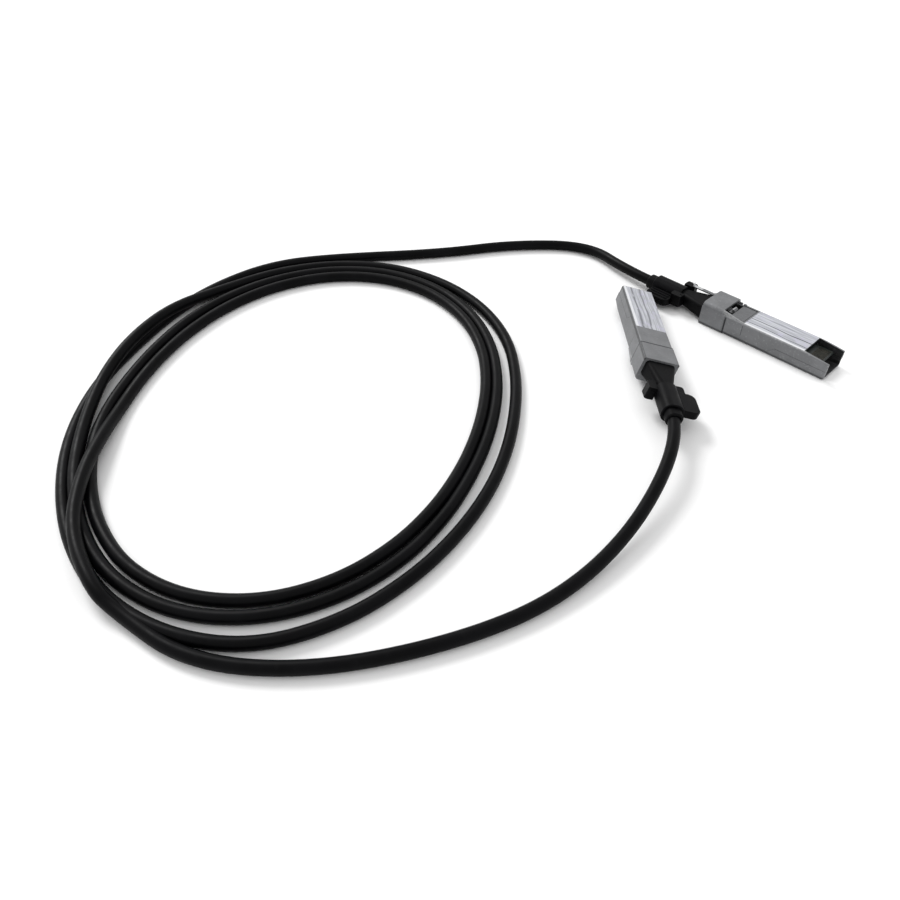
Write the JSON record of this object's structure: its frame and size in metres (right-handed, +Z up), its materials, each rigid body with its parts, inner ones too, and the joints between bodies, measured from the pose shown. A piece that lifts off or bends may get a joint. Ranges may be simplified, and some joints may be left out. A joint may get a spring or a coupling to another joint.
{
  "type": "direct_attach_cable",
  "caption": "A loose coil of round black direct attach copper cable with a grey die-cast pluggable module, black boot and ribbed pull tab on each end.",
  "frame": {"origin": "middle of plug A's mating end, on its underside, level with the surface that the cable lies on", "axes": "+X from plug A's mating end back along its body to the cable, +Y to its left side, +Z up through its latch side"},
  "size_m": [0.2198, 0.2632, 0.0135],
  "materials": {
    "die_cast_shell": "matte",
    "sheet_metal": "satin",
    "latch_metal": "matte",
    "boot_rubber": "matte",
    "tab_plastic": "matte",
    "cable_jacket": "satin",
    "label_film": "satin",
    "circuit_board": "satin",
    "gold_contact": "gloss",
    "chip_package": "matte",
    "pair_insulation": "satin",
    "ferrule_metal": "satin",
    "gasket_rubber": "matte"
  },
  "bodies": {
    "cable_assembly": {"base_shell_a": "die_cast_shell", "cover_shell_a": "die_cast_shell", "paddle_card_a": "circuit_board", "card_contacts_a": "gold_contact", "memory_chip_a": "chip_package", "signal_pairs_a": "pair_insulation", "crimp_ferrule_a": "ferrule_metal", "strain_relief_a": "boot_rubber", "lever_pin_a": "sheet_metal", "emi_gasket_a": "gasket_rubber", "cover_label_a": "label_film", "latch_label_a": "label_film", "base_shell_b": "die_cast_shell", "cover_shell_b": "die_cast_shell", "paddle_card_b": "circuit_board", "card_contacts_b": "gold_contact", "memory_chip_b": "chip_package", "signal_pairs_b": "pair_insulation", "crimp_ferrule_b": "ferrule_metal", "strain_relief_b": "boot_rubber", "lever_pin_b": "sheet_metal", "emi_gasket_b": "gasket_rubber", "cover_label_b": "label_film", "latch_label_b": "label_film", "cable_tail_a": "cable_jacket", "cable_coil": "cable_jacket", "cable_tail_b": "cable_jacket", "return_spring_a": "sheet_metal", "return_spring_b": "sheet_metal"},
    "release_a": {"pull_tab_a": "tab_plastic", "release_slider_a": "sheet_metal"},
    "release_b": {"pull_tab_b": "tab_plastic", "release_slider_b": "sheet_metal"},
    "latch_a": {"latch_lever_a": "latch_metal"},
    "latch_b": {"latch_lever_b": "latch_metal"}
  },
  "joints": [
    {"name": "release_a_pull", "type": "slide", "parent": "cable_assembly", "child": "release_a", "axis": [1, 0, 0], "range_m": [0, 0.0025], "stiffness_N_per_m": 400, "springref_m": -0.002, "deforming": ["return_spring_a"]},
    {"name": "latch_a_tilt", "type": "hinge", "parent": "cable_assembly", "child": "latch_a", "pos_m": [0.0396, 0, 0.0073], "axis": [0, 1, 0], "range_deg": [0, 6.1]},
    {"name": "release_b_pull", "type": "slide", "parent": "cable_assembly", "child": "release_b", "axis": [-0.7125, 0.7002, 0.0443], "range_m": [0, 0.0025], "stiffness_N_per_m": 400, "springref_m": -0.002, "deforming": ["return_spring_b"]},
    {"name": "latch_b_tilt", "type": "hinge", "parent": "cable_assembly", "child": "latch_b", "pos_m": [0.05448, 0.04589, 0.00407], "axis": [0.6852, 0.6809, 0.2586], "range_deg": [0, 6.1]}
  ],
  "couplings": [
    {"joint": "latch_a_tilt", "follows": "release_a_pull", "rad_per_m": 41.9},
    {"joint": "latch_b_tilt", "follows": "release_b_pull", "rad_per_m": 41.9}
  ]
}
